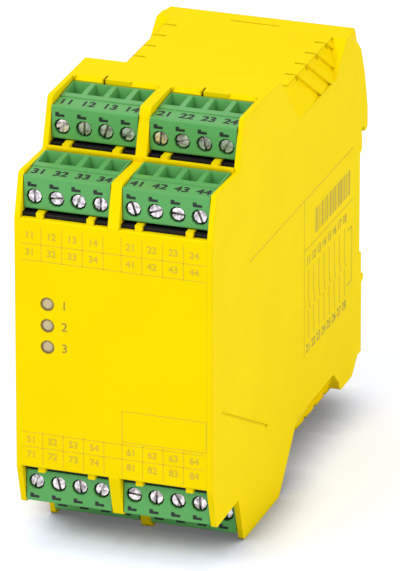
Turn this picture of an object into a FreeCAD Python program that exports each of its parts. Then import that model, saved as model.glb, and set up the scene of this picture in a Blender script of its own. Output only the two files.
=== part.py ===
import FreeCAD, Part
import math
import os

# Safety relay in a two-tier housing for a 35 mm mounting rail.
# Construction frame: X across the width, Y back from the front panel, Z up from mid-height.
# The export moves the origin to the middle of the footprint, at the lowest point.

# ---- driving dimensions, in millimetres ----
WALL = 1.25                     # housing wall
PANEL_WALL = 1.5                # front panel
FRONT_HALF = 29.1               # half height of the front panel
TIER1_FRONT = (2.8, 38.75)      # corners of the side wall: (depth, half height)
TIER1_BACK = (17.8, 38.4)
TIER2_START = 21.4              # second tier of the side wall: front corner
TIER2_HALF = 49.5               # its half height
SHOULDER = (58.7, 35.6)
FLANGE_HALF = 42.6              # half height of the rear roof and back flange
FLANGE_LONG = 8.1               # depth of the back flange
FLANGE_RISE = 8.0               # depth of the slope up to it
BACK_SET = 3.8                  # back edge of the flange, ahead of the rail seat
BULGE = (1.7, 29.5)             # bend of the back edge: (behind the seat, half height)
BULGE_R = 18.0
CORNER_R = 0.9                  # rounding of the side wall corners
CORNER_CHORDS = 3               # sides drawn round each of them
CREASE_R = 0.5                  # rounding where the tiers and the flange meet
BACK_R = 2.0                    # rounding of the roof's back edge and of the hook
HEEL_R = 1.0                    # rounding of the back's lower corners
TIP_R = 0.3                     # rounding of the hook, ledge and latch tips
BEVEL = 3.3                     # width of the bevel along each side of the rear roof

RAIL_SEAT = 104.8               # depth of the face that bears on the rail
RAIL_TOP = 16.8                 # upper edge of the rail
RAIL_HEIGHT = 35.0
RAIL_THICK = 1.0
RAIL_GAP = 0.2                  # clearance round the rail edge
HOOK_OVERLAP = 1.2              # how far the hook reaches over the rail edge
HOOK_THICK = 2.6
HOOK_FLAT = 5.0                 # upright outer face of the hook above its tip
HOOK_RELIEF = 0.25              # corner relief above the seat, opposite the hook
SEAT_LAND = 5.0                 # height of each bearing land above and below the recess
SEAT_RECESS = 1.4               # depth of the relief between the lands
SEAT_RAMP = 0.5                 # slope at the ends of the relief and under the ledge
STOP_LEDGE = (1.7, 1.4)         # fixed ledge under the rail: (reach, height)
STOP_DROP = 0.7                 # gap between rail and ledge
HEEL = 0.3                      # foot of the back, behind the seat face
HEEL_CORNER = 3.6               # height of the slanting corner under the heel

ROUND_CHORDS = 10                # sides drawn round the small repeated bars and bores
DIVIDER = 2.5                   # wall between the left and right bays
POLES = 4
PITCH = 5.0
PLUG_GAP = 0.15                 # clearance at each side of a plug
PLUG_BLOCK = 13.9               # depth of the block that carries the wire entries
PLUG_TONGUE = 8.1               # length of the part that enters the header
PLUG_HEIGHT = (7.6, 8.45)       # height at the front and at the back of the block
PLUG_EDGE = 0.4                 # rounding of the block's long edges
PLUG_CHORDS = 2
TONGUE_Z = (0.35, 6.15)         # bottom and top of the tongue
TONGUE_INSET = 0.15             # step from the block side to the tongue side
ENTRY_TOP = (3.9, 6.0)          # wire entry mouth: (width, depth)
ENTRY_FOOT = (2.6, 4.2)
ENTRY_FRONT = 7.2               # front edge of the mouth
STRIP = (0.7, 5.4, 0.2)         # label strip recess: (front, back, depth)
SCREW_HOLE = 3.8
SCREW_Z = 2.9                   # height of the screw line above the plug floor
HEAD = (3.0, 1.8)               # clamp screw head: (diameter, height)
HEAD_RECESS = 0.6
SLOT = (0.55, 0.7)              # driver slot: (width, depth)
SHANK = 2.4
SHANK_CHORDS = 6
SCREW_SHORT = 0.8               # gap between the screw tip and the back of the cage
CAGE = (3.4, 6.2, 4.5)          # clamp cage: width, depth, height
CAGE_WALL = 1.1
CAGE_FLOOR = 0.95               # height of the cage above the plug floor
CAGE_CLEAR = 0.05
CONTACT = (2.6, 7.4)            # socket behind the cage: (side, length)
PIN = 1.0                       # square header pin
PIN_CLEAR = 0.1
PIN_TIP = 15.8                  # depth of the pin tips behind the plug face
PIN_BEND = 1.4                  # bend behind the header
PIN_ROWS = (33.7, 34.4)         # height of the first board hole of each tier
PIN_STEP = 2.5
HEADER_WALL = 0.7
HEADER_BACK = 2.0
HEADER_GAP = 0.1
SHELF_GAP = 0.05                # between a front header and the second tier's floor
HEADER_ROOM = 1.4               # from the back of a rear header to the slope of the side wall
PLUG_END = 0.4                  # gap behind the tongue of a plug
HEADER_LIFT = 1.5               # header floor below the plug floor
TRAY = 0.9                      # thickness of the header floor
TRAY_REACH = 0.7                # how far the floor stands in front of the plug face

TIER_FRONT = (2.4, 20.1)        # depth of the plug faces of tiers 1 and 2
TIER_FLOOR = (30.5, 40.1)       # half height of the plug floors of tiers 1 and 2
SHELF = 1.2                     # floor under the first tier
SHELF_SHORT = 1.0               # how far each floor ends ahead of the headers' backs
LIP = 1.2                       # upstand in front of the second tier
LIP_TOP = 39.35
LIP_FRONT = 16.9
SUPPORT_W = 1.6                 # support ribs under each plug
SUPPORT_X = 5.75
SUPPORT_REACH = 1.6             # how far a rib runs back under the plug
SUPPORT_GAP = 0.1
ROOF_FRONT = 34.2
EDGE_RELIEF = (6.2, 1.2, 0.9)   # sloped relief in the roof edge: width, depth, height
EDGE_RELIEF_X = 6.4
RELEASE = (0.5, 2.4, 0.3)       # release slot beside a relief: width, length, distance
ROOF_MARK = (11.5, 0.5, 0.3, 5.6)   # groove over the back: width, length, depth, from the back edge

WINDOW_D = 3.0                  # status light windows
WINDOW_EDGE = 7.4               # from the left side face to their middles
WINDOW_Z = (9.8, 4.8, -0.2)
WINDOW_CLEAR = 0.05
WINDOW_SINK = 0.05              # crown of a window behind the panel face
WINDOW_CROWN = (1.7, 0.4)       # its flat top and its height
WINDOW_CHORDS = 20
GUIDE_LENGTH = 6.2
GUIDE_COLLAR = (4.2, 0.8)

SLITS = 5                       # vents in each rear roof edge
SLIT = (2.9, 0.75)
SLIT_FIRST = 60.5
SLIT_STEP = 7.05
LOUVRE_DEPTH = 0.65
LOUVRE_SWEEP = 7.5              # how far a louvre line runs back over the bevel

LATCH_W = 17.0                  # rail latch: width of its guided flanges
LATCH_NECK = 12.6
LATCH_T = 2.6
LATCH_DEPTH = 6.6               # from the back of the latch to the seat face
LATCH_CLEAR = 0.1
LATCH_LUG = 3.2                 # lug below the housing
LATCH_TOP = -21.0               # top of the guided flanges
DRIVER_SLOT = (5.2, 1.4, 0.9)   # slot in the lug: width, height, distance from its foot
NOSE_T = 1.6
NOSE_OVERLAP = 1.2
NOSE_LEAD = 0.5                 # slope of its tip
NOSE_DROP = 1.6                 # outer face of the nose, below the rail
NOSE_FOOT = 5.0                 # its slanting underside
SPRING_D = 4.2
SPRING_CLEAR = 0.2
SPRING_WIRE = 0.5
SPRING_TURNS = 6
SPRING_STEPS = 10               # straight steps in each turn of the wire
SPRING_SEAT = -36.4             # height of the fixed spring seat
SPRING_LENGTH = 10.0

BOARD_T = 1.6                   # circuit boards
BOARD_STANDOFF = 0.3
BOARD_FRONT = 6.5
BOARD_END = 2.85                # gap between the boards and the latch pocket
BOARD_DROP = 0.2                # top edge of the boards, below the shoulder
BOARD_EDGE = 0.5                # gap between board edge and the nearest floor
RELAY = (15.6, 16.0, 50.0)      # height above the board, width, length
RELAY_EDGE = 0.6                # chamfer round the top of its case
RELAY_FRONT = (14.4, 31.4)      # depth of the two relays on each board
CAPACITOR = (7.0, 12.0)         # diameter and height
CAPACITOR_Z = 13.0
CAPACITOR_CHORDS = 20
PAD = (4.0, 6.0, 20.0)          # board pads: diameter, inset from the board's ends, half spacing
LED = (1.2, 2.0, 2.4)           # status light on the board: height past its window, depth, width
CHIPS = (                       # logic chips: height, depth behind the relays, length, foot, top
    (2.3, 8.0, 10.0, -14.0, 4.0),
    (2.3, 24.0, 10.0, -8.0, 10.0),
    (3.5, 8.0, 7.0, 12.0, 22.0),
)
SUPPRESSOR = (8.0, 4.5, 8.0)    # contact suppressors: height, depth, width
SUPPRESSOR_SET = 10.0           # their distance behind the relays
SUPPRESSOR_Z = (7.0, 20.0)
LINK = (6.0, 4.0, 20.0)         # sockets of the board link: height, depth, length
LINK_STRIP = (1.0, 18.0)        # its strip: thickness and length
LINK_SET = 2.0                  # its distance behind the relays
COVER_RELIEF = 0.5              # depth of the line moulded in the cover
COVER_LINE = ((6.1, -13.2), (37.4, -29.0), 0.5)     # slanting line: ends and width
NICK_DEPTH = 0.8                # finger nicks at the back corners of both sides
NICK_RAMP = 2.2                 # width of their sloping front face
NICK_WALL = 0.3                 # width of the steep wall over the lower one
TOP_NICK = (4.4, 1.3, 0.7)      # from the back edge, below the roof, fall of its lower side
LOW_NICK = (2.7, 4.8, 3.6)      # ahead of the flange, above its foot, slant of its front
PEG_D = 2.4                     # cover pegs
PEG_LENGTH = 6.0
PEG_RISE = 8.0                  # peg under the slope, measured up it from the shoulder
PEG_CLEAR = 0.05
BOSS_SINK = 0.3                 # how far a peg boss merges into the wall beside it
SCREW_TURNS = {                 # driver slot angles of each plug, left to right
    "upper_front_left": (90, 8, 68, 88),
    "upper_front_right": (108, 22, -4, 112),
    "upper_rear_left": (36, 90, 72, 48),
    "upper_rear_right": (84, 15, 101, 60),
    "lower_front_left": (66, 97, 102, 70),
    "lower_front_right": (92, 118, 88, 176),
    "lower_rear_left": (30, 75, 120, 5),
    "lower_rear_right": (95, 150, 62, 84),
}

# ---- values worked out from the driving dimensions ----
WIDTH = 2 * (POLES * PITCH + WALL) + DIVIDER
HALF = WIDTH / 2
INNER = HALF - WALL
BAY_X = (DIVIDER / 2 + INNER) / 2
BAY_W = INNER - DIVIDER / 2
ROOF_HALF = HALF - BEVEL
WINDOW_X = WINDOW_EDGE - HALF
PLUG_W = BAY_W - 2 * PLUG_GAP
HEADER_W = BAY_W - 2 * HEADER_GAP
PLUG_D = PLUG_BLOCK + PLUG_TONGUE
HEADER_D = PLUG_D + PLUG_END + HEADER_BACK
TIER2_FRONT = (TIER2_START, TIER2_HALF)
TIER2_BACK = (TIER_FRONT[1] + HEADER_D + HEADER_ROOM, TIER2_HALF)
POLE_X = [PITCH * (i - (POLES - 1) / 2) for i in range(POLES)]
RAIL_BOTTOM = RAIL_TOP - RAIL_HEIGHT
LIP_FACE = RAIL_SEAT + RAIL_THICK + 2 * RAIL_GAP
HOOK_BACK = LIP_FACE + HOOK_THICK
BACK_TOP = RAIL_SEAT - BACK_SET
FLANGE_FRONT = BACK_TOP - FLANGE_LONG
FLANGE_FOOT = FLANGE_FRONT - FLANGE_RISE
BACK_BULGE = (RAIL_SEAT + BULGE[0], BULGE[1])
LATCH_FRONT = RAIL_SEAT - LATCH_DEPTH
LATCH_LEDGE = RAIL_BOTTOM - RAIL_GAP
BOARD_BACK = LATCH_FRONT - LATCH_CLEAR - WALL - BOARD_END
SLOPE = (SHOULDER[0] - TIER2_BACK[0]) / (TIER2_BACK[1] - SHOULDER[1])
ROOF_START = TIER2_BACK[0] + SLOPE * (TIER2_BACK[1] - FLANGE_HALF)
SHELF2_TOP = TIER_FLOOR[1] - HEADER_LIFT
SHELF2_FOOT = TIER_FLOOR[0] + TONGUE_Z[1] + HEADER_GAP + HEADER_WALL + SHELF_GAP
BOARD_X = INNER - BOARD_STANDOFF
BOARD_HALF = SHOULDER[1] - BOARD_DROP
RELAYS_BACK = RELAY_FRONT[1] + RELAY[1]
PIN_Z = CAGE_FLOOR + CAGE[2] / 2
ORIGIN = FreeCAD.Vector(0, -HOOK_BACK / 2, TIER2_FRONT[1])


# ---- shape helpers ----
def vec(x, y, z):
    return FreeCAD.Vector(x, y, z)


def box(x, y, z):
    """A box from three (low, high) pairs."""
    return Part.makeBox(x[1] - x[0], y[1] - y[0], z[1] - z[0], vec(x[0], y[0], z[0]))


def ring(diameter, centre, axis, chords):
    """Regular outline with its middle at a point, square to an axis."""
    side = axis.cross(vec(0, 0, 1)).normalize() * (diameter / 2)
    turn = FreeCAD.Rotation(axis, 360 / chords)
    knots = [side]
    for _ in range(chords - 1):
        knots.append(turn.multVec(knots[-1]))
    return [centre + k for k in knots]


def plane(points):
    """Flat face through its corner points."""
    return Part.Face(Part.makePolygon(points + points[:1]))


def frustum(low, high):
    """Solid with flat sides between two like outlines, given as corner points."""
    sides = [plane([low[i - 1], low[i], high[i], high[i - 1]]) for i in range(len(low))]
    return Part.Solid(Part.Shell([plane(low), plane(high)] + sides))


def rod(diameter, start, end, chords=ROUND_CHORDS):
    """A round bar between two points; what repeats many times gets few sides."""
    return plane(ring(diameter, start, end - start, chords)).extrude(end - start)


def corner(before, point, after, radius):
    """Tangent points and middle of the arc that rounds one corner of an outline."""
    a = (before - point).normalize()
    b = (after - point).normalize()
    half = a.getAngle(b) / 2
    reach = radius / math.tan(half)
    centre = point + (a + b).normalize() * (radius / math.sin(half))
    start, end = point + a * reach, point + b * reach
    middle = centre + (point - centre).normalize() * radius
    return start, middle, end


def outline(points, chords=0):
    """Closed wire in the YZ plane through (y, z) or (y, z, corner radius) points.

    Each rounded corner is an arc, or that many chords of it where the shape repeats.
    """
    knots = [(vec(0, p[0], p[1]), p[2] if len(p) > 2 else 0) for p in points]
    edges, first, last = [], None, None
    for i, (point, radius) in enumerate(knots):
        rounding = []
        start = end = point
        if radius:
            after = knots[(i + 1) % len(knots)][0]
            start, middle, end = corner(knots[i - 1][0], point, after, radius)
            arc = Part.Arc(start, middle, end)
            rounding = [arc.toShape()]
            if chords:
                rounding = Part.makePolygon(arc.discretize(chords + 1)).Edges
        if last is not None and last.distanceToPoint(start) > 1e-6:
            edges.append(Part.LineSegment(last, start).toShape())
        edges += rounding
        first = first or start
        last = end
    edges.append(Part.LineSegment(last, first).toShape())
    return Part.Wire(edges)


def slab(points, x, chords=0):
    """Solid with the given side outline between two X values."""
    solid = Part.Face(outline(points, chords)).extrude(vec(x[1] - x[0], 0, 0))
    solid.translate(vec(x[0], 0, 0))
    return solid


def rectangle(x, y, width, z):
    """Corners of a horizontal rectangle: x centre, y pair, width, height."""
    return [vec(x - width / 2, y[0], z), vec(x + width / 2, y[0], z),
            vec(x + width / 2, y[1], z), vec(x - width / 2, y[1], z)]


def fuse(shapes):
    joined = shapes[0].multiFuse(shapes[1:]) if len(shapes) > 1 else shapes[0]
    return joined.removeSplitter()


def mirrored(shape):
    """The same shape below the mid-height plane."""
    return shape.mirror(vec(0, 0, 0), vec(0, 0, 1))


def both_halves(shapes):
    return list(shapes) + [mirrored(s) for s in shapes]


def inset(points, depth):
    """Corner points of a polygon moved inward; the corners run clockwise in (y, z)."""
    moved = []
    for i, here in enumerate(points):
        before, after = points[i - 1], points[(i + 1) % len(points)]
        a = vec(here[0] - before[0], here[1] - before[1], 0).normalize()
        b = vec(after[0] - here[0], after[1] - here[1], 0).normalize()
        normal = vec(a.y, -a.x, 0) + vec(b.y, -b.x, 0)
        normal.multiply(depth / (normal.dot(vec(a.y, -a.x, 0))))
        moved.append((here[0] + normal.x, here[1] + normal.y))
    return moved


# ---- side outlines, as (y, z, corner radius) ----
def back_edge():
    """Back of the housing from the flange down: hook, rail seat, stop ledge and foot."""
    hook_foot = RAIL_TOP - HOOK_OVERLAP
    slot_face, slot_foot = RAIL_SEAT - HOOK_RELIEF, hook_foot - HOOK_RELIEF
    slot_top = RAIL_TOP + RAIL_GAP
    relief = RAIL_SEAT - SEAT_RECESS
    upper, lower = RAIL_TOP - SEAT_LAND, RAIL_BOTTOM + SEAT_LAND
    ledge_top = RAIL_BOTTOM - STOP_DROP
    ledge_foot = ledge_top - STOP_LEDGE[1]
    heel = RAIL_SEAT + HEEL
    return [BACK_BULGE + (BULGE_R,), (HOOK_BACK, hook_foot + HOOK_FLAT, BACK_R),
            (HOOK_BACK, hook_foot, CORNER_R), (LIP_FACE, hook_foot, TIP_R),
            (LIP_FACE, slot_top), (slot_face, slot_top),
            (slot_face, slot_foot), (RAIL_SEAT, slot_foot),
            (RAIL_SEAT, upper), (relief, upper - SEAT_RAMP),
            (relief, lower + SEAT_RAMP), (RAIL_SEAT, lower),
            (RAIL_SEAT, ledge_top), (RAIL_SEAT + STOP_LEDGE[0], ledge_top, TIP_R),
            (RAIL_SEAT + STOP_LEDGE[0], ledge_foot, TIP_R), (heel, ledge_foot - SEAT_RAMP),
            (heel, HEEL_CORNER - FLANGE_HALF, HEEL_R)]


def wall_outline():
    """Outline of a side wall: two tiers, shoulder and back flange, alike above and below."""
    top = [(0, FRONT_HALF, CREASE_R), TIER1_FRONT + (CORNER_R,), TIER1_BACK + (CREASE_R,),
           TIER2_FRONT + (CORNER_R,), TIER2_BACK + (CREASE_R,), SHOULDER + (CORNER_R,),
           (FLANGE_FOOT, SHOULDER[1], CREASE_R), (FLANGE_FRONT, FLANGE_HALF, CREASE_R)]
    lower = [(p[0], -p[1], p[2]) for p in reversed(top)]
    return (top + [(BACK_TOP, FLANGE_HALF, BACK_R)] + back_edge()
            + [(BACK_TOP, -FLANGE_HALF, HEEL_R)] + lower)


def wall(x):
    """Solid with the outline of a side wall between two X values."""
    return slab(wall_outline(), x, CORNER_CHORDS)


def middle_outline():
    """Outline through the middle, where the roof runs level from the second tier back."""
    top = [TIER2_BACK, (ROOF_START, FLANGE_HALF)]
    lower = [(p[0], -p[1]) for p in reversed(top)]
    return (top + [(BACK_TOP, FLANGE_HALF, BACK_R)] + back_edge()
            + [(BACK_TOP, -FLANGE_HALF, HEEL_R)] + lower)


def void_outline(roof):
    """Space inside the rear body under the given roof points."""
    back = RAIL_SEAT - SEAT_RECESS
    fall = (BULGE[0] + BACK_SET) / (FLANGE_HALF - BULGE[1])
    shoulder = FLANGE_HALF - (back - BACK_TOP) / fall
    top = [(ROOF_FRONT - 2 * WALL, TIER2_BACK[1]), TIER2_BACK] + roof
    top += [(BACK_TOP, FLANGE_HALF), (back, shoulder)]
    return inset(top + [(y, -z) for y, z in reversed(top)], WALL)


def bevelled(half, low, flat, high):
    """Prism along Y whose section is a rectangle with four bevelled corners."""
    corners = [(half, low), (flat, high), (-flat, high), (-half, low)]
    corners += [(-x, -z) for x, z in corners]
    return plane([vec(x, TIER2_BACK[0], z) for x, z in corners]).extrude(vec(0, HOOK_BACK, 0))


# ---- housing ----
def body_outer():
    hump = slab(middle_outline(), (-HALF, HALF), CORNER_CHORDS)
    hump = hump.common(bevelled(HALF, SHOULDER[1], ROOF_HALF, FLANGE_HALF))
    return wall((-HALF, HALF)).fuse(hump)


def body_void():
    run, drop = HALF - ROOF_HALF, FLANGE_HALF - SHOULDER[1]
    slant = math.hypot(run, drop)
    low = SHOULDER[1] + WALL * (drop - slant) / run
    high = FLANGE_HALF - WALL
    flat = HALF - (WALL * slant + run * (high - SHOULDER[1])) / drop
    side = slab(void_outline([SHOULDER, (FLANGE_FOOT, SHOULDER[1]),
                              (FLANGE_FRONT, FLANGE_HALF)]), (-INNER, INNER))
    hump = slab(void_outline([(ROOF_START, FLANGE_HALF)]), (-INNER, INNER))
    return side.fuse(hump.common(bevelled(INNER, low, flat, high)))


def rear_skin():
    """Roof, vents and back: the closed part of the housing behind the terminals."""
    skin = body_outer().cut(body_void())
    behind = box((-WIDTH, WIDTH), (ROOF_FRONT, 2 * HOOK_BACK), (-WIDTH * 2, WIDTH * 2))
    return skin.common(behind).cut(wall((INNER, HALF)))


def front_panel():
    return slab([(0, -FRONT_HALF, CREASE_R), (0, FRONT_HALF, CREASE_R),
                 (PANEL_WALL, FRONT_HALF), (PANEL_WALL, -FRONT_HALF)], (-INNER, INNER))


def shelf_end(tier):
    return TIER_FRONT[tier] + HEADER_D - SHELF_SHORT


def bay_floors():
    """Floors of both tiers, the lip of the second and the ribs that carry the plugs."""
    across = (-INNER, INNER)
    floor1 = TIER_FLOOR[0] - HEADER_LIFT
    parts = [box(across, (PANEL_WALL / 2, shelf_end(0)), (floor1 - SHELF, floor1)),
             box(across, (LIP_FRONT, shelf_end(1)), (SHELF2_FOOT, SHELF2_TOP)),
             box(across, (LIP_FRONT, LIP_FRONT + LIP), (SHELF2_FOOT, LIP_TOP))]
    for tier, front in ((0, PANEL_WALL / 2), (1, LIP_FRONT + LIP / 2)):
        floor = TIER_FLOOR[tier] - HEADER_LIFT
        for x in support_places():
            parts.append(box((x - SUPPORT_W / 2, x + SUPPORT_W / 2),
                             (front, TIER_FRONT[tier] + SUPPORT_REACH),
                             (floor, TIER_FLOOR[tier] - SUPPORT_GAP)))
    return both_halves(parts)


def support_places():
    return [side * BAY_X + k * SUPPORT_X for side in (-1, 1) for k in (-1, 1)]


def divider():
    """Wall between the left and right bays, with the outline of the side walls."""
    middle = wall((-DIVIDER / 2, DIVIDER / 2))
    tier1 = box((-DIVIDER, DIVIDER), (-1, shelf_end(0)), (FRONT_HALF - SHELF, SHELF2_TOP))
    tier2 = box((-DIVIDER, DIVIDER), (-1, shelf_end(1)), (SHELF2_FOOT, TIER2_FRONT[1] + 1))
    return both_halves([middle.common(tier1), middle.common(tier2)])


def peg_places():
    """Cover pegs in the front panel's corners, under the roof's slope and at the back flange."""
    reach = PEG_D / 2 + WALL - BOSS_SINK
    roof = FLANGE_HALF - WALL - reach
    front = (PANEL_WALL + reach, TIER_FLOOR[0] - HEADER_LIFT - SHELF - reach)
    up = vec(0, TIER2_BACK[0] - SHOULDER[0], TIER2_BACK[1] - SHOULDER[1]).normalize()
    under = vec(0, *SHOULDER) + up * PEG_RISE + up.cross(vec(-1, 0, 0)) * (WALL + reach)
    places = (front, (under.y, under.z), (BACK_TOP - reach, roof))
    return [(y, side * z) for y, z in places for side in (1, -1)]


def cover_sockets():
    """Bosses in the housing that hold the cover pegs: (solids, bores)."""
    bosses, bores = [], []
    deep = INNER - PEG_LENGTH - WALL
    for y, z in peg_places():
        start = vec(deep, y, z)
        bosses.append(rod(PEG_D + 2 * WALL, start, vec(INNER, y, z)))
        bores.append(rod(PEG_D + 2 * PEG_CLEAR, start + vec(WALL, 0, 0), vec(HALF, y, z)))
    return bosses, bores


def board_pads(side):
    """Low pads between a side wall and its circuit board."""
    low, high = sorted((side * INNER, side * BOARD_X))
    wide, inset_y, half = PAD
    return [rod(wide, vec(low, y, z), vec(high, y, z))
            for y in (BOARD_FRONT + inset_y, BOARD_BACK - inset_y) for z in (-half, half)]


def louvre_cuts():
    """Sawtooth of shallow wedges that gives each bevel its row of louvres."""
    run, drop = HALF - ROOF_HALF, FLANGE_HALF - SHOULDER[1]
    inward = vec(-drop, 0, -run).normalize() * LOUVRE_DEPTH
    outward = inward / -4
    wedges = []
    for i in range(SLITS):
        front = vec(ROOF_HALF, SLIT_FIRST + i * SLIT_STEP, FLANGE_HALF)
        back = front + vec(0, SLIT_STEP, 0)
        wedge = plane([front, back + inward, back + outward, front + outward])
        wedges.append(wedge.extrude(vec(run, LOUVRE_SWEEP, -drop)))
    right = Part.makeCompound(wedges).cut(wall((-HALF, HALF)))
    left = right.mirror(vec(0, 0, 0), vec(1, 0, 0))
    return both_halves([right, left])


def slit_cuts():
    cuts = []
    for i in range(SLITS):
        y = SLIT_FIRST + i * SLIT_STEP
        for x in ((ROOF_HALF - SLIT[0], ROOF_HALF), (-ROOF_HALF, SLIT[0] - ROOF_HALF)):
            cuts.append(box(x, (y - SLIT[1] / 2, y + SLIT[1] / 2),
                            (FLANGE_HALF - 2 * WALL, FLANGE_HALF + 1)))
    return both_halves(cuts)


def roof_edge_cuts():
    """Sloped reliefs and a narrow release slot in the roof edge over each rear plug."""
    top = TIER2_BACK[1]
    slope = [(ROOF_FRONT - 1, top - EDGE_RELIEF[2]), (ROOF_FRONT - 1, top + 1),
             (ROOF_FRONT + EDGE_RELIEF[1] + 1, top + 1), (ROOF_FRONT, top - EDGE_RELIEF[2])]
    cuts = []
    for side in (-1, 1):
        for k in (-1, 1):
            x = side * BAY_X + k * EDGE_RELIEF_X
            cuts.append(slab(slope, (x - EDGE_RELIEF[0] / 2, x + EDGE_RELIEF[0] / 2)))
        x = side * BAY_X - EDGE_RELIEF_X + EDGE_RELIEF[0] / 2 + RELEASE[2]
        cuts.append(box((x, x + RELEASE[0]), (ROOF_FRONT - 1, ROOF_FRONT + RELEASE[1]),
                        (top - 2 * WALL, top + 1)))
    return both_halves(cuts)


def roof_marks():
    """Shallow groove across the middle of the roof and the floor, near the back."""
    wide, long, deep, inset_y = ROOF_MARK
    y = BACK_TOP - inset_y
    return both_halves([box((-wide / 2, wide / 2), (y, y + long), (FLANGE_HALF - deep, FLANGE_HALF + 1))])


def nick(side, face, floor):
    """Recess in a side face with sloping sides: its outlines on the face and on its floor."""
    wires = []
    for x, points in ((HALF, face), (HALF - NICK_DEPTH, floor)):
        knots = [vec(side * x, y, z) for y, z in points]
        wires.append(Part.makePolygon(knots + knots[:1]))
    return Part.makeLoft(wires, True, True)


def nicks(side):
    """Finger nicks at the two back corners of a side face, open to its edges."""
    back, edge = HOOK_BACK, FLANGE_HALF + CORNER_R
    y, z, fall = BACK_TOP - TOP_NICK[0], FLANGE_HALF - TOP_NICK[1], TOP_NICK[2]
    ramp = NICK_RAMP
    top = nick(side, [(y, z), (y, edge), (back, edge), (back, z - fall * (back - y))],
               [(y + ramp, z), (y + ramp, edge), (back, edge), (back, z - fall * (back - y - ramp))])
    y, z, fall = FLANGE_FRONT - LOW_NICK[0], LOW_NICK[1] - FLANGE_HALF, LOW_NICK[2]
    low = nick(side, [(y, z), (back, z), (back, -edge), (y - fall, -edge)],
               [(y + NICK_WALL, z - NICK_WALL), (back, z - NICK_WALL), (back, -edge), (y + ramp, -edge)])
    return [top, low]


def latch_pocket():
    """Guide block for the rail latch: (solid, space for the latch, spring seat)."""
    c = LATCH_CLEAR
    front = LATCH_FRONT - c
    wide, neck = LATCH_W / 2 + c, LATCH_NECK / 2 + c
    below, above = -FLANGE_HALF, LATCH_TOP + c
    block = box((-wide - WALL, wide + WALL), (front - WALL, RAIL_SEAT), (below, above + WALL))
    channel = box((-wide, wide), (front, front + LATCH_T + 2 * c), (below - 1, above))
    window = box((-neck, neck), (front + LATCH_T, HOOK_BACK), (below - 1, LATCH_LEDGE + 2 * c))
    seat = box((-SPRING_D / 2, SPRING_D / 2), (front - c, front + SPRING_D + 2 * SPRING_CLEAR),
               (SPRING_SEAT - WALL, SPRING_SEAT))
    return block, channel.fuse(window), seat


def housing_shell():
    """Tub with the left wall, front panel, terminal bays, vented roof and rail seat."""
    block, space, seat = latch_pocket()
    bosses, bores = cover_sockets()
    solids = [wall((-HALF, -INNER)), front_panel(), rear_skin(), block]
    shell = fuse(solids + bay_floors() + divider() + bosses + board_pads(-1))
    holes = [rod(WINDOW_D + 2 * WINDOW_CLEAR, vec(WINDOW_X, -1, z), vec(WINDOW_X, 3, z), WINDOW_CHORDS)
             for z in WINDOW_Z]
    vents = slit_cuts() + louvre_cuts()
    shell = shell.cut(bores + holes + [space] + vents + roof_edge_cuts() + roof_marks() + nicks(-1))
    return fuse([shell, seat])


def side_cover():
    """Right wall: a flat plate with pegs that press into the housing."""
    plate = wall((INNER, HALF))
    pegs = [rod(PEG_D, vec(INNER - PEG_LENGTH, y, z), vec(HALF - WALL / 2, y, z))
            for y, z in peg_places()]
    return fuse([plate] + pegs + board_pads(1)).cut(nicks(1) + [cover_line()])


def cover_line():
    """Shallow slanting line low down at the front of the cover."""
    (y0, z0), (y1, z1), width = COVER_LINE
    length, turn = math.hypot(y1 - y0, z1 - z0), math.degrees(math.atan2(z1 - z0, y1 - y0))
    line = Part.makeBox(1, length, width, vec(HALF - COVER_RELIEF / 2, 0, 0))
    line.rotate(vec(HALF, 0, 0), vec(1, 0, 0), turn)
    line.translate(vec(0, y0, z0))
    return line


def window_guide(z):
    """Light guide: window in the front panel, collar behind it and a rod to the board."""
    crown, back = WINDOW_CROWN, vec(0, 1, 0)
    start = vec(WINDOW_X, WINDOW_SINK, z)
    rim = start + back * crown[1]
    dome = frustum(ring(crown[0], start, back, WINDOW_CHORDS),
                   ring(WINDOW_D, rim, back, WINDOW_CHORDS))
    bar = rod(WINDOW_D, rim, start + back * GUIDE_LENGTH, WINDOW_CHORDS)
    collar = rod(GUIDE_COLLAR[0], vec(WINDOW_X, PANEL_WALL, z),
                 vec(WINDOW_X, PANEL_WALL + GUIDE_COLLAR[1], z), WINDOW_CHORDS)
    return fuse([dome, bar, collar])


# ---- rail latch ----
def foot_latch():
    """Sprung slide whose nose hooks under the lower edge of the rail."""
    front, back = LATCH_FRONT, RAIL_SEAT - 3 * LATCH_CLEAR
    ledge = LATCH_LEDGE
    nose_face = RAIL_SEAT + RAIL_THICK + RAIL_GAP
    bottom = -FLANGE_HALF - LATCH_LUG
    flange = box((-LATCH_W / 2, LATCH_W / 2), (front, front + LATCH_T), (-FLANGE_HALF, LATCH_TOP))
    neck = slab([(front, LATCH_TOP), (front + LATCH_T + LATCH_CLEAR, LATCH_TOP),
                 (front + LATCH_T + LATCH_CLEAR, ledge), (nose_face, ledge),
                 (nose_face, RAIL_BOTTOM + NOSE_OVERLAP, TIP_R),
                 (nose_face + NOSE_T, RAIL_BOTTOM + NOSE_OVERLAP - NOSE_LEAD, TIP_R),
                 (nose_face + NOSE_T, ledge - NOSE_DROP, CREASE_R), (back, ledge - NOSE_FOOT),
                 (back, bottom, CORNER_R), (front + LATCH_T, bottom, CORNER_R),
                 (front + LATCH_T, -FLANGE_HALF), (front, -FLANGE_HALF)],
                (-LATCH_NECK / 2, LATCH_NECK / 2))
    spring_bay = box((-SPRING_D / 2 - SPRING_CLEAR, SPRING_D / 2 + SPRING_CLEAR),
                     (front - 1, front + SPRING_D + 3 * SPRING_CLEAR),
                     (SPRING_SEAT - WALL - SPRING_CLEAR, SPRING_SEAT + SPRING_LENGTH))
    driver = box((-DRIVER_SLOT[0] / 2, DRIVER_SLOT[0] / 2), (front, back + 1),
                 (bottom + DRIVER_SLOT[2], bottom + DRIVER_SLOT[2] + DRIVER_SLOT[1]))
    return fuse([flange, neck]).cut([spring_bay, driver])


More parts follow.
